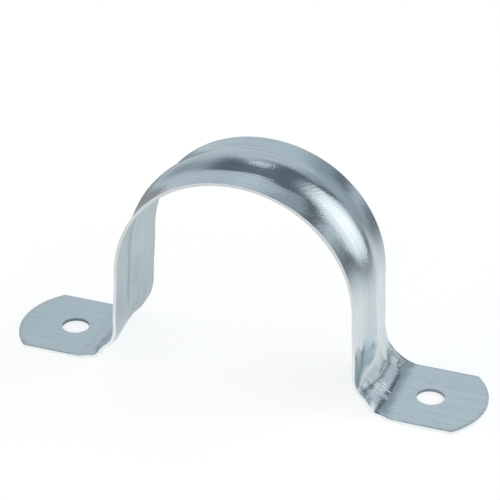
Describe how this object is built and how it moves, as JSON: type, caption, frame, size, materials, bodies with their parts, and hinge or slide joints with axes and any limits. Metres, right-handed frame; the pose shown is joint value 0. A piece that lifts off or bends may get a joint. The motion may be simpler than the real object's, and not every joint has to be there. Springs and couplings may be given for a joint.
{
  "type": "u clamp",
  "caption": "Two-hole U clamp stamped from one strip of zinc-plated sheet steel, with a crowned rib round the arch and two flat rounded feet.",
  "frame": {"origin": "middle of the plane that both feet rest on, under the middle of the arch", "axes": "+X from the left foot to the right foot, +Y along the pipe, +Z from the wall face up to the top of the arch"},
  "size_m": [0.123, 0.0262, 0.0591],
  "materials": {
    "zinc_plated_steel": "bright zinc plating over rolled sheet, with faint lines along the strip"
  },
  "bodies": {
    "root": {"strap": "zinc_plated_steel"}
  },
  "joints": []
}
